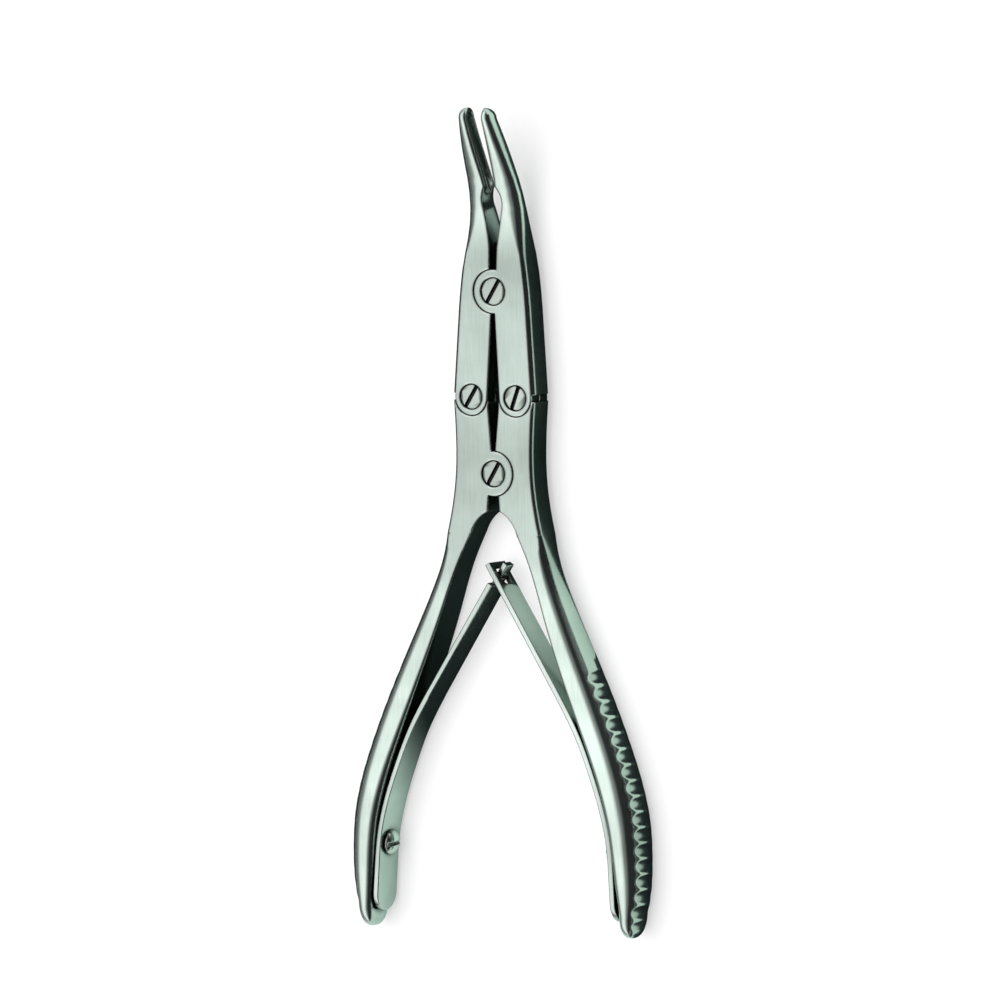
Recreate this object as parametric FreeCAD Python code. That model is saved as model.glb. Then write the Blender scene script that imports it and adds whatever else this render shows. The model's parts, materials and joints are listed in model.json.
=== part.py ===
"""Double action bone rongeur, lying on its back with its tips towards +Y, in millimetres.

The handle pivot's axis is the Z axis and the box's back face is the plane Z = 0. Every piece is
drawn as it stands when the springs hold the jaws open. The left side is the right side mirrored in
X, apart from the half laps, the screws' owners and the tips of the springs.
"""

import FreeCAD, Part
import math
import os

from FreeCAD import Vector

# Box: the four flat plates that the pivots join
box_thickness = 7.0
jaw_chamfer = 0.85
handle_chamfer = 0.6
lap_gap = 0.06
ear_gap = 0.12

# Pivots, each from the handle pivot at X = 0 and Y = 0
link_x = 5.5
link_y = 16.5
jaw_pivot_y = 39.4
handle_ear_radius = 4.84
jaw_ear_radius = 4.75
link_ear_radius = 4.0
link_notch = 1.6
handle_gap = 0.45
handle_crotch_gap = 1.25
jaw_gap = 0.43
jaw_neck_gap = 0.87

# Jaws
tip_y = 79.4
open_angle = 2.84
bite_gap = 0.06
jaw_plate_top = 44.0
jaw_tip_half_depth = 2.3
jaw_tip_lean = 0.35
jaw_trim = 0.02
relief_start = 49.0
relief_wide_y = 58.0
relief_half_width = 2.45
relief_end = 62.4
cup_start = 60.0
cup_depth = 1.7
cup_wall = 1.0

# Outlines by height Y along the instrument: half width of a jaw, its half depth and how far its
# middle rises towards the front
JAW_SIDE = [(17.3, 10.2), (29.0, 9.4), (42.0, 8.3), (51.0, 7.1), (59.0, 6.45), (67.0, 5.65), (77.1, 4.2)]
JAW_HALF_DEPTH = [(38.0, 3.5), (44.0, 3.5), (46.5, 3.46), (55.0, 2.85), (61.0, 2.5), (68.0, 2.45), (77.1, 2.3)]
JAW_RISE = [(38.0, 0.0), (44.0, 0.0), (51.0, 0.05), (56.8, 0.75), (62.0, 2.3), (67.2, 4.75), (72.4, 7.3), (77.1, 9.5)]

# How far a jaw's outer corners are cut back, in X and in Z, how round they are, and its inner corners
JAW_CORNER_X = [(44.0, 0.85), (48.0, 1.1), (52.0, 2.2), (56.0, 3.2), (60.0, 3.4), (67.0, 3.2), (77.1, 2.5)]
JAW_CORNER_Z = [(44.0, 0.85), (48.0, 1.2), (54.0, 2.2), (60.0, 2.2), (77.1, 2.0)]
JAW_ROUNDNESS = [(44.0, 0.03), (48.0, 0.6), (54.0, 1.0), (77.1, 1.0)]
JAW_INNER_CORNER = [(44.0, 0.2), (55.0, 0.2), (62.0, 0.65), (77.1, 0.6)]

# The same for a handle, with its inner face
HANDLE_SIDE = [
    (15.7, 10.1), (7.0, 9.6), (-1.0, 9.75), (-10.0, 11.1), (-18.7, 13.5), (-29.1, 17.8),
    (-44.8, 25.1), (-60.4, 31.6), (-73.0, 35.3), (-82.0, 36.1), (-90.0, 35.8), (-95.0, 34.6),
]
HANDLE_INNER = [
    (-13.0, 5.7), (-18.0, 8.1), (-30.0, 12.5), (-43.7, 17.6), (-55.0, 22.1),
    (-65.6, 26.1), (-76.0, 28.9), (-86.0, 30.1), (-95.0, 31.0),
]
HANDLE_HALF_DEPTH = [
    (-5.0, 3.5), (-13.0, 3.5), (-24.0, 4.0), (-45.0, 5.1), (-60.0, 5.5), (-80.0, 5.5), (-95.0, 4.2),
]
HANDLE_CORNER = [(-13.0, 0.6), (-22.0, 1.5), (-45.0, 2.9), (-62.0, 3.9), (-82.0, 4.1), (-95.0, 2.6)]
HANDLE_ROUNDNESS = [(-13.0, 0.03), (-22.0, 0.7), (-32.0, 1.0), (-95.0, 1.0)]
CROTCH = [(1.5, -8.2), (3.0, -9.1), (3.95, -10.0)]
handle_plate_end = -13.0
handle_cap_y = -95.0
handle_end_y = -99.5
handle_end_x = 32.5
inner_corner = 0.5
full_belly = 0.15
belly_share = 0.06
round_weight = math.sqrt(0.5)
end_taper = 0.8

# Steps of the lofts along the instrument, and the angles at which they round off its ends
jaw_step = 3.2
handle_step = 5.5
END_ANGLES = (20, 40, 58, 73, 84)

# Grip grooves on the outer side of each handle
groove_count = 17
groove_first_y = -43.2
groove_pitch = 3.37
groove_radius = 1.95
groove_depth = 0.75

# Pivot screws
shank_radius = 1.7
shank_fit = 0.04
shank_recess = 0.1
head_height = 1.2
head_chamfer = 0.15
head_ring_gap = 0.1
head_seat_gap = 0.03
slot_width = 0.9
slot_depth = 0.9
jaw_head_radius = 2.95
handle_head_radius = 2.8
link_head_radius = 2.7

# Leaf springs
leaf_thickness = 1.15
leaf_base_width = 8.0
leaf_tip_width = 6.5
leaf_screw_y = -81.0
leaf_tail_y = -96.0
leaf_lift_y = -63.0
leaf_bend = 7.5
leaf_seat_gap = 0.06
leaf_free_angle = 1.8
leaf_tip_x = 1.7
leaf_tip_y = -19.6
tongue_length = 5.2
tongue_width = 3.0
slot_end_bar = 1.2
leaf_slot_length = 4.2
leaf_slot_gap = 0.35

# Spring screws
spring_head_radius = 2.7
spring_head_height = 1.6
spring_shank_radius = 1.5
spring_shank_length = 4.2
spring_hole_gap = 0.12
spring_head_gap = 0.22

mid_z = box_thickness / 2
UP = Vector(0, 0, 1)


def along(points, y):
    """The smooth curve through the points (height, value), at height y."""
    points = sorted(points)
    curve = Part.BSplineCurve()
    curve.interpolate(Points=[Vector(*p, 0) for p in points], Parameters=[p[0] for p in points])
    return curve.value(min(max(y, points[0][0]), points[-1][0])).y


def spread(start, end, step):
    """Heights from start to end, evenly spaced, about a step apart."""
    count = max(1, round(abs(end - start) / step))
    return [start + (end - start) * i / count for i in range(count + 1)]


def spline(points):
    curve = Part.BSplineCurve()
    curve.interpolate([Vector(*p) for p in points])
    return curve.toShape()


def line(a, b):
    return Part.makeLine(Vector(*a), Vector(*b))


def prism(edges, height):
    return Part.Face(Part.Wire(edges)).extrude(UP * height)


def layer(shape_radius, x, y, low, high):
    """A round layer between two heights Z."""
    return Part.makeCylinder(shape_radius, high - low, Vector(x, y, low), UP)


def mirrored(shape):
    return shape.mirror(Vector(0, 0, 0), Vector(1, 0, 0))


def section(y, x_in, x_out, z_mid, half_depth, corner_x, corner_z, roundness, inner):
    """A closed wire in the plane Y = y: a flat inner face and a rounded or chamfered outer side."""
    rx = min(corner_x, 0.8 * (x_out - x_in - inner))
    rz = min(corner_z, 0.92 * half_depth)
    c = min(inner, 0.4 * half_depth)
    top = half_depth
    side = x_out - roundness * min(full_belly, belly_share * (top - rz))

    def at(x, z):
        return Vector(x, y, z_mid + z)

    def corner(start, peak, end, weight):
        curve = Part.BezierCurve()
        curve.setPoles([at(*start), at(*peak), at(*end)])
        curve.setWeight(2, weight)
        return curve.toShape()

    weight = round_weight * roundness
    return Part.Wire([
        Part.makeLine(at(x_in, c - top), at(x_in, top - c)),
        corner((x_in, top - c), (x_in, top), (x_in + c, top), round_weight),
        Part.makeLine(at(x_in + c, top), at(side - rx, top)),
        corner((side - rx, top), (side, top), (side, top - rz), weight),
        Part.Arc(at(side, top - rz), at(x_out, 0), at(side, rz - top)).toShape(),
        corner((side, rz - top), (side, -top), (side - rx, -top), weight),
        Part.makeLine(at(side - rx, -top), at(x_in + c, -top)),
        corner((x_in + c, -top), (x_in, -top), (x_in, c - top), round_weight),
    ])


def outer_edges(solid, x_min):
    """The long edges at the top and bottom of a plate's outer side."""
    found = []
    for edge in solid.Edges:
        box = edge.BoundBox
        if box.ZLength < 1e-6 and box.YLength > 5 and box.XMin > x_min:
            found.append(edge)
    return found


def jaw_inner_x(y):
    """The jaw's biting face, which closes on the plane X = 0."""
    return bite_gap / 2 + (y - jaw_pivot_y) * math.tan(math.radians(open_angle))


def jaw_plate():
    """The flat part of the right jaw, from the link notch to the root of its blade."""
    y0 = link_y + link_notch / 2
    side = [(along(JAW_SIDE, y), y, 0) for y in spread(y0, jaw_plate_top, 4)]
    foot = (link_x - link_ear_radius, link_y, 0)
    neck = (jaw_gap, jaw_pivot_y - jaw_ear_radius, 0)
    edges = [
        spline(side),
        line(side[-1], (jaw_neck_gap, jaw_plate_top, 0)),
        line((jaw_neck_gap, jaw_plate_top, 0), neck),
        line(neck, foot),
        line(foot, (link_x, link_y, 0)),
        line((link_x, link_y, 0), side[0]),
    ]
    plate = prism(edges, box_thickness)
    return plate.makeChamfer(jaw_chamfer, outer_edges(plate, 7.0))


def jaw_blade():
    """The curved, tapering part of the right jaw. Its inner face is trimmed afterwards."""
    wires = []
    y0 = tip_y - jaw_tip_half_depth
    for y in spread(jaw_plate_top, y0, jaw_step):
        wires.append(section(
            y, jaw_inner_x(y) - jaw_trim, along(JAW_SIDE, y), mid_z + along(JAW_RISE, y),
            along(JAW_HALF_DEPTH, y), along(JAW_CORNER_X, y), along(JAW_CORNER_Z, y),
            along(JAW_ROUNDNESS, y), along(JAW_INNER_CORNER, y),
        ))
    thick = along(JAW_SIDE, y0) - jaw_inner_x(y0)
    for angle in END_ANGLES:
        t = math.radians(angle)
        y = y0 + jaw_tip_half_depth * math.sin(t)
        size = math.cos(t)
        wires.append(section(
            y, jaw_inner_x(y) - jaw_trim, jaw_inner_x(y) + thick * size ** end_taper,
            mid_z + along(JAW_RISE, y0) + jaw_tip_lean * math.sin(t), jaw_tip_half_depth * size,
            along(JAW_CORNER_X, y0) * size, along(JAW_CORNER_Z, y0) * size, 1.0,
            along(JAW_INNER_CORNER, y0) * size,
        ))
    return Part.makeLoft(wires, True, True)


def jaw_inner_cut():
    """All that lies inside the right jaw's biting face, with the relief behind the cups."""
    neck = (jaw_neck_gap, jaw_plate_top - 2, 0)
    start = (jaw_neck_gap + 0.1, relief_start, 0)
    wide = (relief_half_width, relief_wide_y, 0)
    end = (jaw_inner_x(relief_end), relief_end, 0)
    past = tip_y + 2
    middle = ((start[0] + wide[0]) / 2, (start[1] + wide[1]) / 2 + 0.6, 0)
    shoulder = (wide[0] - 0.25, (wide[1] + end[1]) / 2 + 0.3, 0)
    edges = [
        line((-6, neck[1], 0), neck),
        line(neck, start),
        spline((start, middle, wide)),
        Part.Arc(Vector(*wide), Vector(*shoulder), Vector(*end)).toShape(),
        line(end, (jaw_inner_x(past), past, 0)),
        line((jaw_inner_x(past), past, 0), (-6, past, 0)),
        line((-6, past, 0), (-6, neck[1], 0)),
    ]
    tool = prism(edges, 4 * box_thickness)
    tool.translate(Vector(0, 0, -box_thickness))
    return tool


def cup():
    """The scoop in the right jaw's biting face, drawn when closed and turned open."""
    half = jaw_tip_half_depth - cup_wall
    low, high = cup_start + half, tip_y - cup_wall - half
    ends = [half * math.sin(math.radians(angle)) for angle in END_ANGLES]
    stations = [low - reach for reach in ends[::-1]]
    stations += spread(low, high, jaw_step)
    stations += [high + reach for reach in ends]
    wires = []
    for y in stations:
        past = max(low - y, y - high, 0) / half
        share = math.sqrt(1 - past ** 2)
        middle = mid_z + along(JAW_RISE, y)
        width = (along(JAW_HALF_DEPTH, y) - cup_wall) * share
        depth = cup_depth * share
        wires.append(Part.Wire([
            line((-1, y, middle + width), (-1, y, middle - width)),
            line((-1, y, middle - width), (0, y, middle - width)),
            Part.Arc(
                Vector(0, y, middle - width), Vector(depth, y, middle), Vector(0, y, middle + width),
            ).toShape(),
            line((0, y, middle + width), (-1, y, middle + width)),
        ]))
    tool = Part.makeLoft(wires, True, True)
    tool.rotate(Vector(0, jaw_pivot_y, 0), UP, -open_angle)
    return tool


def screw_holes(solid, x, y, head_radius, front):
    """The counterbore and running hole in a front ear, or the screwed hole in a back ear."""
    if front:
        seat = box_thickness - head_height
        solid = solid.cut(layer(head_radius + head_ring_gap, x, y, seat, box_thickness + 1))
        return solid.cut(layer(shank_radius + shank_fit, x, y, -1, box_thickness))
    return solid.cut(layer(shank_radius, x, y, -1, box_thickness + 1))


def lap(solid, x, y, radius, front):
    """Half laps a plate at a pivot: its own ear on one side and room for the other's ear."""
    low = (0, mid_z - lap_gap / 2)
    high = (mid_z + lap_gap / 2, box_thickness)
    own, other = (high, low) if front else (low, high)
    room_low = -1 if front else mid_z - lap_gap / 2
    room_high = mid_z + lap_gap / 2 if front else box_thickness + 1
    solid = solid.cut(layer(radius + ear_gap, x, y, room_low, room_high))
    return solid.fuse(layer(radius, x, y, *own))


def jaw(front_at_pivot):
    """The right jaw. Its ear at the jaw pivot is the front or the back half."""
    body = jaw_plate().fuse(jaw_blade())
    body = body.cut(jaw_inner_cut()).cut(cup())
    body = lap(body, 0, jaw_pivot_y, jaw_ear_radius, front_at_pivot)
    body = lap(body, link_x, link_y, link_ear_radius, True)
    body = screw_holes(body, 0, jaw_pivot_y, jaw_head_radius, front_at_pivot)
    body = screw_holes(body, link_x, link_y, link_head_radius, True)
    return body.removeSplitter()


def handle_plate():
    """The flat part of the right handle, from the link notch to below the handle pivot."""
    y0 = link_y - link_notch / 2
    side = [(along(HANDLE_SIDE, y), y, 0) for y in spread(y0, handle_plate_end, 4)]
    crotch = [(x, y, 0) for x, y in CROTCH] + [(along(HANDLE_INNER, handle_plate_end), handle_plate_end, 0)]
    foot = (link_x - link_ear_radius, link_y, 0)
    neck = (handle_gap, handle_ear_radius, 0)
    slit = (handle_crotch_gap, -handle_ear_radius, 0)
    edges = [
        spline(side),
        line(side[-1], crotch[-1]),
        spline(crotch),
        line(crotch[0], slit),
        line(slit, neck),
        line(neck, foot),
        line(foot, (link_x, link_y, 0)),
        line((link_x, link_y, 0), side[0]),
    ]
    plate = prism(edges, box_thickness)
    return plate.makeChamfer(handle_chamfer, outer_edges(plate, 7.0))


def handle_bar():
    """The lever of the right handle, from a flat plate's section to a deep rounded grip."""
    wires = []
    for y in spread(handle_plate_end, handle_cap_y, handle_step):
        corner = min(inner_corner, 0.02 + 0.05 * (handle_plate_end - y))
        wires.append(section(
            y, along(HANDLE_INNER, y), along(HANDLE_SIDE, y), mid_z, along(HANDLE_HALF_DEPTH, y),
            along(HANDLE_CORNER, y), along(HANDLE_CORNER, y), along(HANDLE_ROUNDNESS, y), corner,
        ))
    x_in, x_out = along(HANDLE_INNER, handle_cap_y), along(HANDLE_SIDE, handle_cap_y)
    half, depth = (x_out - x_in) / 2, along(HANDLE_HALF_DEPTH, handle_cap_y)
    cap_corner = along(HANDLE_CORNER, handle_cap_y)
    for angle in END_ANGLES:
        t = math.radians(angle)
        share = math.sin(t)
        middle = (x_in + x_out) / 2 * (1 - share) + handle_end_x * share
        y = handle_cap_y + (handle_end_y - handle_cap_y) * share
        size = math.cos(t)
        wires.append(section(
            y, middle - half * size, middle + half * size, mid_z, depth * size ** end_taper,
            cap_corner * size, cap_corner * size, 1.0, inner_corner * size,
        ))
    return Part.makeLoft(wires, True, True)


def grip_grooves():
    """Grooves across the right handle's outer side, straight in Z so that they fade out."""
    tools = []
    for i in range(groove_count):
        y = groove_first_y - groove_pitch * i
        lean = (along(HANDLE_SIDE, y - 0.5) - along(HANDLE_SIDE, y + 0.5))
        away = (groove_radius - groove_depth) / math.hypot(1, lean)
        x = along(HANDLE_SIDE, y) + away
        tools.append(layer(groove_radius, x, y + away * lean, -box_thickness, 2 * box_thickness))
    return tools


def inner_normal(y):
    """The direction out of the right handle's inner face, at height y, and along it."""
    slope = (along(HANDLE_INNER, y + 0.5) - along(HANDLE_INNER, y - 0.5))
    tangent = Vector(slope, 1, 0).normalize()
    return Vector(-tangent.y, tangent.x, 0), tangent


def spring_seat():
    """Where the right leaf's screw stands on the handle's inner face."""
    return Vector(along(HANDLE_INNER, leaf_screw_y), leaf_screw_y, mid_z)


def handle(front_at_pivot):
    """The right handle. Its ear at the handle pivot is the front or the back half."""
    out, _ = inner_normal(leaf_screw_y)
    hole = Part.makeCylinder(spring_shank_radius, spring_shank_length + 1, spring_seat() + out, -out)
    body = handle_plate().fuse(handle_bar())
    body = body.cut(grip_grooves()).cut(hole)
    body = lap(body, 0, 0, handle_ear_radius, front_at_pivot)
    body = lap(body, link_x, link_y, link_ear_radius, False)
    body = screw_holes(body, 0, 0, handle_head_radius, front_at_pivot)
    body = screw_holes(body, link_x, link_y, link_head_radius, False)
    return body.removeSplitter()


def pivot_screw(x, y, head_radius, slot_angle):
    """A slotted screw, its head sunk in the front ear. The slot leans to the right by its angle."""
    low = box_thickness - head_height + head_seat_gap
    rim = box_thickness - head_chamfer
    profile = [
        line((0, 0, shank_recess), (shank_radius, 0, shank_recess)),
        line((shank_radius, 0, shank_recess), (shank_radius, 0, low)),
        line((shank_radius, 0, low), (head_radius, 0, low)),
        line((head_radius, 0, low), (head_radius, 0, rim)),
        line((head_radius, 0, rim), (head_radius - head_chamfer, 0, box_thickness)),
        line((head_radius - head_chamfer, 0, box_thickness), (0, 0, box_thickness)),
        line((0, 0, box_thickness), (0, 0, shank_recess)),
    ]
    body = Part.Face(Part.Wire(profile)).revolve(Vector(0, 0, 0), UP, 360)
    corner = Vector(-slot_width / 2, -2 * head_radius, box_thickness - slot_depth)
    slot = Part.makeBox(slot_width, 4 * head_radius, 2, corner)
    slot.rotate(Vector(0, 0, 0), UP, -slot_angle)
    body = body.cut(slot)
    body.translate(Vector(x, y, 0))
    return body


def leaf_line():
    """The middle line of the right leaf in its plane, from its tail to its tip."""
    points = []
    free = math.tan(math.radians(leaf_free_angle))
    for y in spread(leaf_tail_y, leaf_lift_y, 5.5):
        out, _ = inner_normal(y)
        gap = leaf_seat_gap + leaf_thickness / 2 + abs(y - leaf_screw_y) * free
        points.append(Vector(along(HANDLE_INNER, y), y, 0) + out * gap)
    return points


def strip(points, thickness, low, high):
    """A strip of even thickness along a smooth line, between two heights Z."""
    curve = Part.BSplineCurve()
    curve.interpolate(points)
    sides = []
    for sign in (1, -1):
        offset = []
        for i, p in enumerate(points):
            u = curve.parameter(p)
            tangent = curve.tangent(u)[0]
            offset.append(p + Vector(-tangent.y, tangent.x, 0) * (sign * thickness / 2))
        sides.append(offset)
    left, right = Part.BSplineCurve(), Part.BSplineCurve()
    left.interpolate(sides[0])
    right.interpolate(sides[1])
    edges = [
        left.toShape(),
        Part.makeLine(sides[0][-1], sides[1][-1]),
        right.toShape(),
        Part.makeLine(sides[1][0], sides[0][0]),
    ]
    solid = Part.Face(Part.Wire(Part.sortEdges(edges)[0])).extrude(UP * (high - low))
    solid.translate(UP * low)
    return solid


def leaf(tongued):
    """The right leaf. Its tip is slotted, or has the tongue that passes through the slot."""
    base = leaf_line()
    tip = Vector(-leaf_tip_x, leaf_tip_y, 0)
    turn = base[-1] + inner_normal(leaf_lift_y)[1] * leaf_bend
    run = tip - turn
    bend_end = turn + Vector(run).normalize() * leaf_bend
    points = base + [base[-1] * 0.25 + turn * 0.5 + bend_end * 0.25]
    points += [bend_end + (tip - bend_end) * share for share in (0, 0.33, 0.67, 1.0)]
    body = strip(points, leaf_thickness, mid_z - leaf_base_width, mid_z + leaf_base_width)
    direction = Vector(run).normalize()
    across = Vector(-direction.y, direction.x, 0)
    seat = spring_seat()

    tail_y, shoulder_y = points[0].y, leaf_screw_y + 6
    wide, narrow = leaf_base_width / 2, leaf_tip_width / 2
    far = 3 * leaf_base_width
    outline = [
        Part.Arc(
            Vector(0, tail_y + wide, mid_z + wide), Vector(0, tail_y, mid_z),
            Vector(0, tail_y + wide, mid_z - wide),
        ).toShape(),
        line((0, tail_y + wide, mid_z - wide), (0, shoulder_y, mid_z - wide)),
        line((0, shoulder_y, mid_z - wide), (0, leaf_tip_y + 5, mid_z - narrow)),
        line((0, leaf_tip_y + 5, mid_z - narrow), (0, leaf_tip_y + 5, mid_z + narrow)),
        line((0, leaf_tip_y + 5, mid_z + narrow), (0, shoulder_y, mid_z + wide)),
        line((0, shoulder_y, mid_z + wide), (0, tail_y + wide, mid_z + wide)),
    ]
    trim = Part.Face(Part.Wire(outline)).extrude(Vector(2 * far, 0, 0))
    trim.translate(Vector(-far / 2, 0, 0))
    body = body.common(trim)

    def tip_box(start, end, width, z):
        corner = Vector(-leaf_thickness, start, z - width / 2)
        box = Part.makeBox(2 * leaf_thickness, end - start, width, corner)
        box.rotate(Vector(0, 0, 0), UP, math.degrees(math.atan2(-direction.x, direction.y)))
        box.translate(Vector(tip.x, tip.y, 0))
        return box

    if tongued:
        for side in (1, -1):
            z = mid_z + side * (tongue_width / 2 + leaf_base_width / 2)
            body = body.cut(tip_box(-tongue_length, 1, leaf_base_width, z))
    else:
        width = tongue_width + 2 * leaf_slot_gap
        body = body.cut(tip_box(-slot_end_bar - leaf_slot_length, -slot_end_bar, width, mid_z))
    out, _ = inner_normal(leaf_screw_y)
    hole = Part.makeCylinder(spring_shank_radius + spring_hole_gap, 6, seat - out * 2, out)
    return body.cut(hole).removeSplitter()


def spring_screw():
    """The right leaf's round headed screw, across the handle's inner face."""
    low = leaf_seat_gap + leaf_thickness + spring_head_gap
    top = low + spring_head_height
    rim = low + spring_head_height * 0.35
    profile = [
        line((0, 0, -spring_shank_length), (spring_shank_radius, 0, -spring_shank_length)),
        line((spring_shank_radius, 0, -spring_shank_length), (spring_shank_radius, 0, low)),
        line((spring_shank_radius, 0, low), (spring_head_radius, 0, low)),
        line((spring_head_radius, 0, low), (spring_head_radius, 0, rim)),
        Part.Arc(
            Vector(spring_head_radius, 0, rim), Vector(spring_head_radius * 0.62, 0, top - 0.18),
            Vector(0, 0, top),
        ).toShape(),
        line((0, 0, top), (0, 0, -spring_shank_length)),
    ]
    body = Part.Face(Part.Wire(profile)).revolve(Vector(0, 0, 0), UP, 360)
    corner = Vector(-2 * spring_head_radius, -slot_width / 2, top - slot_depth)
    slot = Part.makeBox(4 * spring_head_radius, slot_width, 2, corner)
    body = body.cut(slot)
    out, _ = inner_normal(leaf_screw_y)
    body.Placement = FreeCAD.Placement(spring_seat(), FreeCAD.Rotation(UP, out))
    return body


def build():
    return {
        "right_jaw": jaw(True),
        "left_jaw": mirrored(jaw(False)),
        "right_handle": handle(False),
        "left_handle": mirrored(handle(True)),
        "jaw_pivot_screw": pivot_screw(0, jaw_pivot_y, jaw_head_radius, 32),
        "handle_pivot_screw": pivot_screw(0, 0, handle_head_radius, 31),
        "right_link_screw": pivot_screw(link_x, link_y, link_head_radius, 20),
        "left_link_screw": pivot_screw(-link_x, link_y, link_head_radius, 32),
        "right_spring": leaf(False),
        "left_spring": mirrored(leaf(True)),
        "right_spring_screw": spring_screw(),
        "left_spring_screw": mirrored(spring_screw()),
    }


os.makedirs("parts", exist_ok=True)
for name, shape in build().items():
    solid = shape.Solids[0] if len(shape.Solids) == 1 else shape
    print(name, "solids", len(shape.Solids), "valid", shape.isValid(), "volume", round(shape.Volume, 1))
    solid.exportStep("parts/" + name + ".step")
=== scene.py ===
"""The looks of the bone rongeur: satin steel forgings, slotted screws and a pair of leaf springs."""

import json
import math

import bmesh
import bpy
import numpy as np
from mathutils import Matrix, Vector


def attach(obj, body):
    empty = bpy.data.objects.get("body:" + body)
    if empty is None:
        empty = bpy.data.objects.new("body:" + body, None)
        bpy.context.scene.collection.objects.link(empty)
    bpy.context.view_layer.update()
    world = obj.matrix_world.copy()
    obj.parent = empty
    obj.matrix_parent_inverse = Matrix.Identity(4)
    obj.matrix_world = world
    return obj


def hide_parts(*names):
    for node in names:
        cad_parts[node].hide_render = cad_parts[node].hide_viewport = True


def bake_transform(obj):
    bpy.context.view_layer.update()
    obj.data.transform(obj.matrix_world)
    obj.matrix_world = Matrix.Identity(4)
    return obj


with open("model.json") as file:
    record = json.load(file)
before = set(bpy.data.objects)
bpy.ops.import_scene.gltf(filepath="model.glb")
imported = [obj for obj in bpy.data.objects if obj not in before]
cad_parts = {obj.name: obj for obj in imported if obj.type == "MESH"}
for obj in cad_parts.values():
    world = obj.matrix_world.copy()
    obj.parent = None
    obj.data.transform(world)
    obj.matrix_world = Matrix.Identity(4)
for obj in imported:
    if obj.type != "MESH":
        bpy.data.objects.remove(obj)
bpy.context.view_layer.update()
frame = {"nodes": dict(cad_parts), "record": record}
nodes = frame["nodes"]
carrier = {node: body for body, held in frame["record"]["behaviour"]["bodies"].items() for node in held}
MM = 0.001


# Shader helpers

def ranged(tree, value, start, end, low=0.0, high=1.0, smooth=False):
    """A value carried from the range start to end onto the range low to high, and held at its ends."""
    node = tree.nodes.new("ShaderNodeMapRange")
    if smooth:
        node.interpolation_type = "SMOOTHSTEP"
    node.inputs["From Min"].default_value = start
    node.inputs["From Max"].default_value = end
    node.inputs["To Min"].default_value = low
    node.inputs["To Max"].default_value = high
    tree.links.new(value, node.inputs["Value"])
    return node.outputs["Result"]


def combined(tree, operation, first, second):
    """The result of one operation on two values."""
    node = tree.nodes.new("ShaderNodeMath")
    node.operation = operation
    tree.links.new(first, node.inputs[0])
    tree.links.new(second, node.inputs[1])
    return node.outputs["Value"]


# Steel, with lengths and heights in metres

# A light colour painted on the edges, partly as wear and partly as a painted highlight
worn_and_highlit_edge_colour = (0.66, 0.71, 0.68, 1.0)
# The levers and the jaw blades are painted brighter than the box, partly as polish and partly as a painted
# highlight
polish_and_highlight_gain = 1.5
polished_and_highlit_heights = ((0.044, 0.058), (-0.012, -0.034))


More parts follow.
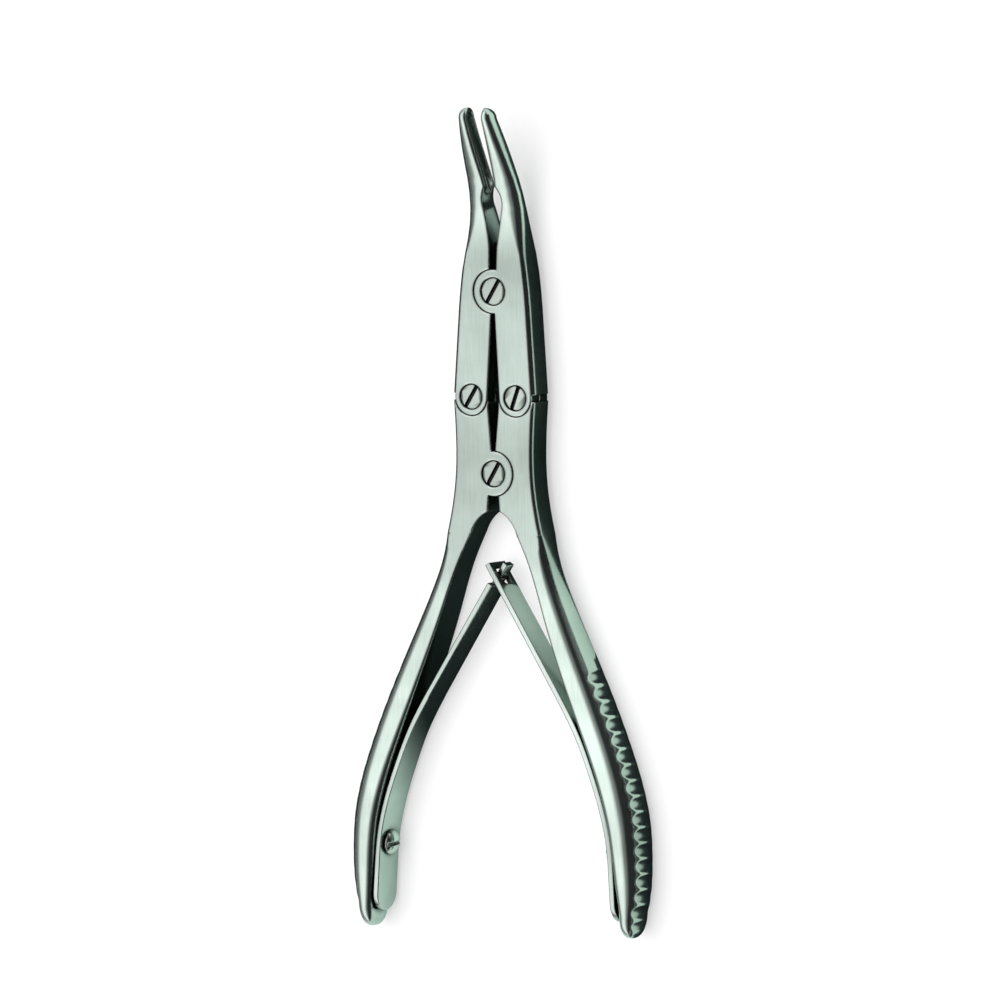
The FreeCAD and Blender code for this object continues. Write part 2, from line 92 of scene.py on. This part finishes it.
def brushed_steel(name, colour, roughness, grain, rounding, along=(1.0, 0.05, 1.0)):
    """Forged steel with fine polishing lines, cloudy patches, edges painted light as wear and painted
    highlight, painted shade in its nooks, and a duller box beside ends painted brighter as polish and painted
    highlight.
    """
    steel = bpy.data.materials.new(name)
    steel.use_nodes = True
    tree = steel.node_tree
    shader = tree.nodes["Principled BSDF"]
    shader.inputs["Metallic"].default_value = 1.0

    place = tree.nodes.new("ShaderNodeTexCoord")
    stretch = tree.nodes.new("ShaderNodeMapping")
    stretch.inputs["Scale"].default_value = along
    tree.links.new(place.outputs["Object"], stretch.inputs["Vector"])

    lines = tree.nodes.new("ShaderNodeTexNoise")
    lines.inputs["Scale"].default_value = 2600.0
    lines.inputs["Detail"].default_value = 5.0
    lines.inputs["Roughness"].default_value = 0.6
    tree.links.new(stretch.outputs["Vector"], lines.inputs["Vector"])

    clouds = tree.nodes.new("ShaderNodeTexNoise")
    clouds.inputs["Scale"].default_value = 45.0
    clouds.inputs["Detail"].default_value = 4.0
    tree.links.new(place.outputs["Object"], clouds.inputs["Vector"])

    # The edges painted light, as wear and as a painted highlight, are where the rounded normal leaves the
    # true one
    soft = tree.nodes.new("ShaderNodeBevel")
    soft.samples = 8
    soft.inputs["Radius"].default_value = rounding
    facing = tree.nodes.new("ShaderNodeNewGeometry")
    turn = tree.nodes.new("ShaderNodeVectorMath")
    turn.operation = "DOT_PRODUCT"
    tree.links.new(soft.outputs["Normal"], turn.inputs[0])
    tree.links.new(facing.outputs["Normal"], turn.inputs[1])
    wear_and_highlight = ranged(tree, turn.outputs["Value"], 0.998, 0.96)

    # The tone of the steel, from its clouds and its lines, with painted shade in its nooks and its ends
    # painted brighter as polish and as a painted highlight
    shade = ranged(tree, clouds.outputs["Fac"], 0.36, 0.64, 0.82, 1.1)
    streak = ranged(tree, lines.outputs["Fac"], 0.3, 0.7, 0.94, 1.04)
    level = combined(tree, "MULTIPLY", shade, streak)
    # Painted shade: the colour darkens where the ambient occlusion finds a crevice, slot or gap
    crevice_occlusion = tree.nodes.new("ShaderNodeAmbientOcclusion")
    crevice_occlusion.samples = 6
    crevice_occlusion.inputs["Distance"].default_value = 0.0016
    painted_shade = ranged(tree, crevice_occlusion.outputs["AO"], 0.55, 0.93, 0.05)
    level = combined(tree, "MULTIPLY", level, painted_shade)
    spot = tree.nodes.new("ShaderNodeSeparateXYZ")
    tree.links.new(place.outputs["Object"], spot.inputs["Vector"])
    # The levers and the blades painted brighter, as polish and as a painted highlight
    for start, end in polished_and_highlit_heights:
        polish_and_highlight = ranged(tree, spot.outputs["Y"], start, end, 1.0, polish_and_highlight_gain, smooth=True)
        level = combined(tree, "MULTIPLY", level, polish_and_highlight)
    tint = tree.nodes.new("ShaderNodeVectorMath")
    tint.operation = "SCALE"
    tint.inputs[0].default_value = colour
    tree.links.new(level, tint.inputs["Scale"])

    # The edges mixed towards a light colour, as wear and as a painted highlight, except where the painted
    # shade lies
    edge = tree.nodes.new("ShaderNodeMix")
    edge.data_type = "RGBA"
    edge.inputs["B"].default_value = worn_and_highlit_edge_colour
    unshaded_wear_and_highlight = combined(tree, "MULTIPLY", wear_and_highlight, painted_shade)
    tree.links.new(unshaded_wear_and_highlight, edge.inputs["Factor"])
    tree.links.new(tint.outputs["Vector"], edge.inputs["A"])
    tree.links.new(edge.outputs["Result"], shader.inputs["Base Color"])

    gloss = ranged(tree, lines.outputs["Fac"], 0.25, 0.75, roughness * 0.8, roughness * 1.25)
    tree.links.new(gloss, shader.inputs["Roughness"])

    relief = tree.nodes.new("ShaderNodeBump")
    relief.inputs["Strength"].default_value = grain
    relief.inputs["Distance"].default_value = 0.00001
    tree.links.new(lines.outputs["Fac"], relief.inputs["Height"])
    tree.links.new(soft.outputs["Normal"], relief.inputs["Normal"])
    tree.links.new(relief.outputs["Normal"], shader.inputs["Normal"])
    return steel


satin_steel = brushed_steel("satin_steel", (0.435, 0.5, 0.467), 0.15, 0.3, 0.0008)
screw_steel = brushed_steel("screw_steel", (0.44, 0.49, 0.455), 0.18, 0.3, 0.0004, (0.15, 1.0, 1.0))
spring_steel = brushed_steel("spring_steel", (0.40, 0.45, 0.425), 0.15, 0.25, 0.0004)


# Curves of the handles, in millimetres

def smooth_curve(points):
    """The smooth curve through the points (height, value), as a function of the height, in millimetres."""
    heights, values = np.array(sorted(points), float).T
    gaps = np.diff(heights)
    count = len(heights)
    ties = np.eye(count)
    pull = np.zeros(count)
    for i in range(1, count - 1):
        ties[i, i - 1:i + 2] = gaps[i - 1], 2 * (gaps[i - 1] + gaps[i]), gaps[i]
        pull[i] = 6 * ((values[i + 1] - values[i]) / gaps[i] - (values[i] - values[i - 1]) / gaps[i - 1])
    bends = np.linalg.solve(ties, pull)

    def at(height):
        height = min(max(height, heights[0]), heights[-1])
        i = min(max(int(np.searchsorted(heights, height)) - 1, 0), count - 2)
        a, b = heights[i + 1] - height, height - heights[i]
        return (
            (bends[i] * a ** 3 + bends[i + 1] * b ** 3) / (6 * gaps[i])
            + (values[i] / gaps[i] - bends[i] * gaps[i] / 6) * a
            + (values[i + 1] / gaps[i] - bends[i + 1] * gaps[i] / 6) * b
        )

    return at


handle_side = smooth_curve([
    (15.7, 10.1), (7.0, 9.6), (-1.0, 9.75), (-10.0, 11.1), (-18.7, 13.5), (-29.1, 17.8),
    (-44.8, 25.1), (-60.4, 31.6), (-73.0, 35.25), (-82.0, 36.0), (-90.0, 35.72), (-95.0, 34.6),
])
handle_inner = smooth_curve([
    (-13.0, 5.7), (-18.0, 8.1), (-30.0, 12.5), (-43.7, 17.6), (-55.0, 22.1),
    (-65.6, 26.1), (-76.0, 28.9), (-86.0, 30.1), (-95.0, 31.0),
])
handle_half_depth = smooth_curve([
    (-5.0, 3.5), (-13.0, 3.5), (-24.0, 4.0), (-45.0, 5.1), (-60.0, 5.42), (-80.0, 5.45), (-95.0, 4.2),
])
handle_corner = smooth_curve([
    (-13.0, 0.6), (-20.0, 1.9), (-30.0, 3.1), (-45.0, 4.0), (-62.0, 4.4), (-82.0, 4.3), (-95.0, 2.8),
])
handle_inner_corner = smooth_curve([
    (-13.0, 0.02), (-20.0, 0.35), (-30.0, 0.5), (-50.0, 0.9), (-65.0, 1.4), (-95.0, 1.4),
])
handle_roundness = smooth_curve([(-13.0, 0.03), (-22.0, 0.7), (-32.0, 1.0), (-95.0, 1.0)])
mid_z = 3.5
plate_end, cap_y, end_y, end_x = -13.0, -95.0, -99.46, 32.5

# Scoops of the grip, in millimetres

groove_radius, groove_depth = 1.95, 0.75
groove_count, groove_first, groove_pitch = 17, -43.2, 3.37
groove_softness = 0.05
groove_margin = 0.5
no_softness_past = 30


def groove_middle(step):
    """The middle (x, y) of one scoop's round, which lies outside the grip and square to its side."""
    y = groove_first - groove_pitch * step
    lean = handle_side(y - 0.5) - handle_side(y + 0.5)
    away = (groove_radius - groove_depth) / math.hypot(1, lean)
    return handle_side(y) + away, y + away * lean


grooves = [groove_middle(step) for step in range(groove_count)]


def scooped(x, y):
    """The side's x after the grip's scoops are cut, with their rims a little rounded."""
    for groove_x, groove_y in grooves:
        in_reach = abs(y - groove_y) < groove_radius - groove_softness
        if in_reach and x > groove_x - groove_radius - groove_margin:
            floor = groove_x - math.sqrt(groove_radius ** 2 - (y - groove_y) ** 2)
            gap = (x - floor) / groove_softness
            if gap > no_softness_past:
                x = floor
            elif gap > -no_softness_past:
                x = x - groove_softness * math.log(1 + math.exp(gap))
    return x


# Levers

most_corner_of_depth, most_corner_of_width = 0.92, 0.8
most_inner_corner_of_depth = 0.4
most_belly, belly_of_side = 0.15, 0.06
wall_steps, face_steps, corner_steps, side_steps = 4, 6, 24, 8
neck_step, grip_step, neck_end = 0.7, 0.24, -40
cap_rows, cap_turn, cap_flatness = 28, 88.5, 0.8


def corner_points(x, z, radius, start, roundness, steps):
    """Points over a quarter turn round (x, z), between a straight chamfer and a full round."""
    out = []
    first, last = math.radians(start), math.radians(start - 90)
    for i in range(steps + 1):
        t = math.radians(start - 90 * i / steps)
        round_x, round_z = radius * math.cos(t), radius * math.sin(t)
        flat_x = radius * (math.cos(first) * (1 - i / steps) + math.cos(last) * i / steps)
        flat_z = radius * (math.sin(first) * (1 - i / steps) + math.sin(last) * i / steps)
        out.append((x + flat_x + (round_x - flat_x) * roundness, z + flat_z + (round_z - flat_z) * roundness))
    return out


def bar_ring(x_in, x_out, half_depth, outer_corner, roundness, inner_corner):
    """Points (x, z) once round the lever's section, from the middle of its inner face."""
    outer = min(
        outer_corner, most_corner_of_depth * half_depth, most_corner_of_width * (x_out - x_in - inner_corner),
    )
    inner = min(inner_corner, most_inner_corner_of_depth * half_depth)
    straight = half_depth - outer
    belly = min(most_belly, belly_of_side * straight) * roundness
    side = x_out - belly

    front = [(x_in, (half_depth - inner) * i / wall_steps) for i in range(wall_steps)]
    front += corner_points(x_in + inner, half_depth - inner, inner, 180, 1.0, wall_steps)
    a, b = x_in + inner, side - outer
    front += [(a + (b - a) * i / face_steps, half_depth) for i in range(1, face_steps)]
    front += corner_points(side - outer, straight, outer, 90, roundness, corner_steps)
    for i in range(1, side_steps):
        z = straight * (1 - i / side_steps)
        front.append((side + belly * (1 - (z / straight) ** 2), z))
    front.append((x_out, 0.0))
    back = [(x, -z) for x, z in front[1:-1]]
    return front + back[::-1]


def lever_rows():
    """The lever's sections as (height, points), from the flat plate's end to the rounded tip."""
    rows = []
    y = plate_end
    while y > cap_y:
        rows.append((y, bar_ring(
            handle_inner(y), handle_side(y), handle_half_depth(y), handle_corner(y), handle_roundness(y),
            handle_inner_corner(y),
        )))
        y -= neck_step if y > neck_end else grip_step
    x_in, x_out = handle_inner(cap_y), handle_side(cap_y)
    half, depth = (x_out - x_in) / 2, handle_half_depth(cap_y)
    for i in range(cap_rows):
        t = math.radians(cap_turn * i / (cap_rows - 1))
        share, size = math.sin(t), math.cos(t)
        middle = (x_in + x_out) / 2 * (1 - share) + end_x * share
        rows.append((cap_y + (end_y - cap_y) * share, bar_ring(
            middle - half * size, middle + half * size, depth * size ** cap_flatness,
            handle_corner(cap_y) * size, 1.0, handle_inner_corner(cap_y) * size,
        )))
    return rows


def lever_bar(sign):
    """One handle's lever from its flat plate to its rounded end, with the scoops of the grip."""
    rows = lever_rows()
    work = bmesh.new()
    ring = [work.verts.new() for _ in rows[0][1]]
    edges = [work.edges.new((ring[i - 1], ring[i])) for i in range(len(ring))]
    for row, (y, outline) in enumerate(rows):
        if row:
            grown = bmesh.ops.extrude_edge_only(work, edges=edges)["geom"]
            new = {part for part in grown if isinstance(part, bmesh.types.BMVert)}
            ring = [next(e.other_vert(v) for e in v.link_edges if e.other_vert(v) in new) for v in ring]
            edges = [work.edges.get((ring[i - 1], ring[i])) for i in range(len(ring))]
        for vert, (x, z) in zip(ring, outline):
            vert.co = Vector((scooped(x, y) * sign, y, mid_z + z)) * MM
    work.faces.new(ring)
    bmesh.ops.recalc_face_normals(work, faces=work.faces)
    return work


# Merging of the plain solids, with the distance in metres and the angle in degrees

merge_distance = 2e-6
flat_angle = 0.5

# Finishing of the plain solids, in millimetres

forging_round, leaf_round = 0.2, 0.4
leaf_top, leaf_screw_y, leaf_screw_clear = -26, -81.0, 2.6
near_front, plate_joint_clear, hair = 6.9, 0.3, 0.001
head_low, head_top, head_rim = 6.8, 6.95, 0.2
head_drawn_in, head_lowered = 0.25, 0.12


def own_piece(name, work, steel, body, replaced, angle=30):
    """The work as a smoothed object in a plain solid's place, on one body, or on no body when given a pair.
    """
    mesh = bpy.data.meshes.new(name)
    work.to_mesh(mesh)
    work.free()
    if "custom_normal" in mesh.attributes:
        mesh.attributes.remove(mesh.attributes["custom_normal"])
    mesh.shade_smooth()
    mesh.set_sharp_from_angle(angle=math.radians(angle))
    mesh.materials.append(steel)
    piece = bpy.data.objects.new(name, mesh)
    bpy.context.scene.collection.objects.link(piece)
    even = piece.modifiers.new("even_shading", "WEIGHTED_NORMAL")
    even.keep_sharp = True
    even.weight = 80
    if isinstance(body, tuple):
        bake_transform(piece)
    else:
        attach(piece, body)
    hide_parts(replaced)


def copied(name):
    """A merged copy of a plain solid's mesh."""
    work = bmesh.new()
    work.from_mesh(nodes[name].data)
    bmesh.ops.remove_doubles(work, verts=work.verts, dist=merge_distance)
    return work


def eased(work, width, chosen, segments=2, clamped=True):
    """Rounds the chosen edges over a width."""
    bmesh.ops.dissolve_limit(work, angle_limit=math.radians(flat_angle), verts=work.verts, edges=work.edges)
    bmesh.ops.bevel(
        work, geom=[edge for edge in work.edges if len(edge.link_faces) == 2 and chosen(edge)],
        offset=width * MM, offset_type="OFFSET", segments=segments, profile=0.5, affect="EDGES",
        clamp_overlap=clamped, material=-1,
    )
    return work


def long_edge(edge):
    """Whether an edge runs along a leaf or round its end, between a broad side and the narrow rim."""
    tilts = sorted(abs(face.normal.x) for face in edge.link_faces)
    seat = Vector((leaf_screw_y, mid_z)) * MM
    return tilts[0] < 0.5 and tilts[1] > 0.75 and all(
        vert.co.y < leaf_top * MM and (vert.co.yz - seat).length > leaf_screw_clear * MM
        for vert in edge.verts
    )


def front_rim(edge):
    """Whether an edge lies between a flat front and an upright side, away from the lever's joint."""
    tilts = sorted(abs(face.normal.z) for face in edge.link_faces)
    return (
        tilts[0] < 0.1 and tilts[1] > 0.999 and all(vert.co.z > near_front * MM for vert in edge.verts)
        and any(vert.co.y > (plate_end + plate_joint_clear) * MM for vert in edge.verts)
    )


def rim_turned(work):
    """Rounds a pivot screw's head by drawing in its rim, about the middle of its mesh."""
    xs = [vert.co.x for vert in work.verts]
    ys = [vert.co.y for vert in work.verts]
    middle = Vector(((min(xs) + max(xs)) / 2, (min(ys) + max(ys)) / 2, 0))
    reach = (max(xs) - min(xs)) / 2
    for vert in work.verts:
        arm = vert.co - middle
        arm.z = 0
        if vert.co.z > head_low * MM and arm.length > reach - head_rim * MM:
            if vert.co.z > head_top * MM:
                vert.co -= arm.normalized() * head_drawn_in * MM
            else:
                vert.co.z -= head_lowered * MM
    return work


def upper_box(name):
    """A handle's flat box without the lever below it, with its front rims rounded."""
    box = copied(name)
    lever = [face for face in box.faces if face.calc_center_median().y < (plate_end - hair) * MM]
    bmesh.ops.delete(box, geom=lever, context="FACES")
    return eased(box, forging_round, front_rim, 2, False)


for side, sign in (("left", -1), ("right", 1)):
    handle, jaw, spring = side + "_handle", side + "_jaw", side + "_spring"
    body = carrier[handle]
    own_piece(handle + "_box", upper_box(handle), satin_steel, body, handle)
    own_piece(handle + "_lever", lever_bar(sign), satin_steel, body, handle, 50)
    forging = eased(copied(jaw), forging_round, front_rim, 2, False)
    own_piece(jaw + "_forging", forging, satin_steel, carrier[jaw], jaw)
    bend = (body, carrier[spring], (sign * 0.0296, -0.081, 0.0035), (sign * 0.006, -0.030, 0.0035))
    leaf = eased(copied(spring), leaf_round, long_edge, 3)
    own_piece(spring + "_leaf", leaf, spring_steel, bend, spring)
for name in nodes:
    if name.endswith("_screw"):
        screw = copied(name) if "spring" in name else rim_turned(copied(name))
        own_piece(name + "_finished", screw, screw_steel, carrier[name], name, 50)


# Floor and cards, in millimetres

floor_z = -2.1
floor_reach = 3000
dark, near_black = (0.014, 0.022, 0.021), (0.012, 0.018, 0.019)


def sheet_of(name, corners, coat):
    """A flat sheet, for the floor and for the cards that the steel reflects."""
    work = bmesh.new()
    work.faces.new([work.verts.new(Vector(c) * MM) for c in corners])
    mesh = bpy.data.meshes.new(name)
    work.to_mesh(mesh)
    work.free()
    mesh.materials.append(coat)
    sheet = bpy.data.objects.new(name, mesh)
    bpy.context.scene.collection.objects.link(sheet)
    return sheet


def paint(name, colour):
    """Plain matt paint."""
    coat = bpy.data.materials.new(name)
    coat.use_nodes = True
    shader = coat.node_tree.nodes["Principled BSDF"]
    shader.inputs["Base Color"].default_value = (*colour, 1.0)
    shader.inputs["Roughness"].default_value = 0.9
    return coat


def floor_paint():
    """White paint that is half lit from within to the eye and to reflections, and keeps the shadow."""
    coat = paint("floor_white", (0.8, 0.8, 0.8))
    tree = coat.node_tree
    glow = tree.nodes.new("ShaderNodeEmission")
    ray = tree.nodes.new("ShaderNodeLightPath")
    seen = combined(tree, "ADD", ray.outputs["Is Camera Ray"], ray.outputs["Is Glossy Ray"])
    seen = combined(tree, "ADD", seen, ray.outputs["Is Transmission Ray"])
    half = tree.nodes.new("ShaderNodeMath")
    half.operation = "MULTIPLY"
    half.use_clamp = True
    half.inputs[1].default_value = 0.5
    tree.links.new(seen, half.inputs[0])
    blend = tree.nodes.new("ShaderNodeMixShader")
    tree.links.new(half.outputs["Value"], blend.inputs["Fac"])
    tree.links.new(tree.nodes["Principled BSDF"].outputs["BSDF"], blend.inputs[1])
    tree.links.new(glow.outputs["Emission"], blend.inputs[2])
    tree.links.new(blend.outputs["Shader"], tree.nodes["Material Output"].inputs["Surface"])
    return coat


def card(name, corners, lift, colour):
    """A sheet just above the floor that only the steel's reflections show."""
    sheet = sheet_of(name, [(x, y, floor_z + lift) for x, y in corners], paint(name + "_coat", colour))
    sheet.visible_camera = False
    sheet.visible_diffuse = False
    sheet.visible_shadow = False
    sheet.visible_transmission = False
    return sheet


def faded(coat, upper, lower, start, end):
    """Fades a coat from an upper colour to a lower one, between two heights in metres."""
    tree = coat.node_tree
    place = tree.nodes.new("ShaderNodeTexCoord")
    spot = tree.nodes.new("ShaderNodeSeparateXYZ")
    tree.links.new(place.outputs["Object"], spot.inputs["Vector"])
    fade = ranged(tree, spot.outputs["Y"], start, end, smooth=True)
    tint = tree.nodes.new("ShaderNodeMix")
    tint.data_type = "RGBA"
    tint.inputs["A"].default_value = (*upper, 1.0)
    tint.inputs["B"].default_value = (*lower, 1.0)
    tree.links.new(fade, tint.inputs["Factor"])
    tree.links.new(tint.outputs["Result"], tree.nodes["Principled BSDF"].inputs["Base Color"])


sheet_of(
    "floor",
    [(x * floor_reach, y * floor_reach, floor_z) for x, y in ((-1, -1), (1, -1), (1, 1), (-1, 1))],
    floor_paint(),
)
card("grey_card", [(-600, -260), (400, -260), (400, 260), (-600, 260)], 0.02, (0.46, 0.56, 0.50))
card("dark_card", [
    (12, 95), (15, 40), (16.5, 10), (17, 0), (16.5, -12), (17.5, -25), (21, -38), (14, -19), (3.5, -21),
    (1.5, -30), (-8, -50), (-14, -80), (-26, -84), (-33, -99), (-60, -118), (-500, -118), (-500, 95),
], 0.05, dark)
card("jaw_card", [(0.5, 50), (4.5, 50), (4.5, 58), (0.5, 58)], 0.08, (0.44, 0.53, 0.50))
card("grip_card", [
    (20, -38), (24.5, -38), (28.2, -45), (34.6, -60), (38.2, -73), (39.0, -82), (38.6, -90), (36, -104),
    (30, -104), (31, -82), (26, -60),
], 0.08, near_black)
card("side_card", [
    (38, -46), (46, -34), (60, -12), (80, 20), (110, 60), (390, 250), (390, -250), (30, -250), (30, -112),
    (45, -100), (46, -82), (44, -62),
], 0.05, (0.03, 0.042, 0.042))
card("gap_card", [(-5, -46), (6, -46), (12, -72), (6, -98), (-18, -98), (-18, -88), (-15, -86)], 0.06, dark)
leaf_card = card("leaf_card", [
    (-17, -46), (-5, -46), (-15, -86), (-21, -100), (-34, -100), (-31, -86),
], 0.08, (0.5, 0.5, 0.5))
faded(leaf_card.data.materials[0], dark, (0.50, 0.62, 0.56), -0.056, -0.078)


# Lamp and world light

def lamp(name, place, size, power, in_gloss):
    """A square or oblong lamp that points at the origin."""
    light = bpy.data.lights.new(name, "AREA")
    light.shape = "RECTANGLE"
    light.size, light.size_y = size
    light.energy = power
    holder = bpy.data.objects.new(name, light)
    bpy.context.scene.collection.objects.link(holder)
    turned = Vector(place).to_track_quat("Z", "Y").to_matrix().to_4x4()
    holder.matrix_world = Matrix.Translation(Vector(place)) @ turned
    holder.visible_glossy = in_gloss


def compass_light(tree, share, stops):
    """Light that changes with the compass, from stops of degrees and level."""
    ramp = tree.nodes.new("ShaderNodeValToRGB")
    ramp.color_ramp.interpolation = "EASE"
    while len(ramp.color_ramp.elements) < len(stops):
        ramp.color_ramp.elements.new(0.5)
    for element, (degrees, level) in zip(ramp.color_ramp.elements, stops):
        element.position = (degrees + 180) / 360
        element.color = (level, level * 1.02, level, 1.0)
    tree.links.new(share, ramp.inputs["Fac"])
    return ramp.outputs["Color"]


front_stops = [
    (-178, 0.03), (-104, 0.04), (-86, 0.14), (-64, 0.36), (-45, 1.2), (-22, 1.3),
    (-14, 1.05), (6, 0.3), (32, 0.03),
]
side_stops = [(44, 0.0), (62, 0.9), (96, 0.9), (110, 0.0)]


def studio_world():
    """Bands of light round the instrument's long axis, the right one only from beyond the jaws."""
    world = bpy.data.worlds.new("studio")
    bpy.context.scene.world = world
    world.use_nodes = True
    tree = world.node_tree
    backdrop = tree.nodes["Background"]
    way = tree.nodes.new("ShaderNodeTexCoord")
    parts = tree.nodes.new("ShaderNodeSeparateXYZ")
    tree.links.new(way.outputs["Generated"], parts.inputs["Vector"])
    bearing = combined(tree, "ARCTAN2", parts.outputs["X"], parts.outputs["Z"])
    share = ranged(tree, bearing, -math.pi, math.pi)
    front_light = compass_light(tree, share, front_stops)
    side_light = compass_light(tree, share, side_stops)
    lifted = ranged(tree, parts.outputs["Y"], 0.5, 0.8, smooth=True)
    light = tree.nodes.new("ShaderNodeVectorMath")
    light.operation = "MULTIPLY_ADD"
    tree.links.new(side_light, light.inputs[0])
    tree.links.new(lifted, light.inputs[1])
    tree.links.new(front_light, light.inputs[2])
    tree.links.new(light.outputs["Vector"], backdrop.inputs["Color"])
    backdrop.inputs["Strength"].default_value = 1.0


lamp("overhead_light", (0.1, 0.1, 1.0), (1.2, 1.2), 15.0, False)
studio_world()

# Camera: a long lens, 30.6 degrees to the right and a little above, almost square to the frame

azimuth, elevation, roll = math.radians(30.6), math.radians(4.2), math.radians(0.2)
focal_length, sensor_width, frame_width = 800, 36, 0.2163
back = Vector((
    math.sin(azimuth) * math.cos(elevation), math.sin(elevation), math.cos(azimuth) * math.cos(elevation),
))
right = Vector((0, 1, 0)).cross(back).normalized()
up = back.cross(right)
tilt = Matrix.Rotation(-roll, 3, back)
right, up = tilt @ right, tilt @ up
aim = Vector((0, -0.010, 0.0035)) + up * 0.0041 - right * 0.00012
lens = bpy.data.cameras.new("camera")
lens.lens = focal_length
lens.sensor_width = sensor_width
lens.clip_end = 20
camera = bpy.data.objects.new("camera", lens)
bpy.context.scene.collection.objects.link(camera)
spin = Matrix((right, up, back)).transposed().to_4x4()
camera.matrix_world = Matrix.Translation(aim + back * (frame_width * focal_length / sensor_width)) @ spin
bpy.context.scene.camera = camera
bpy.context.scene.view_settings.view_transform = "Standard"
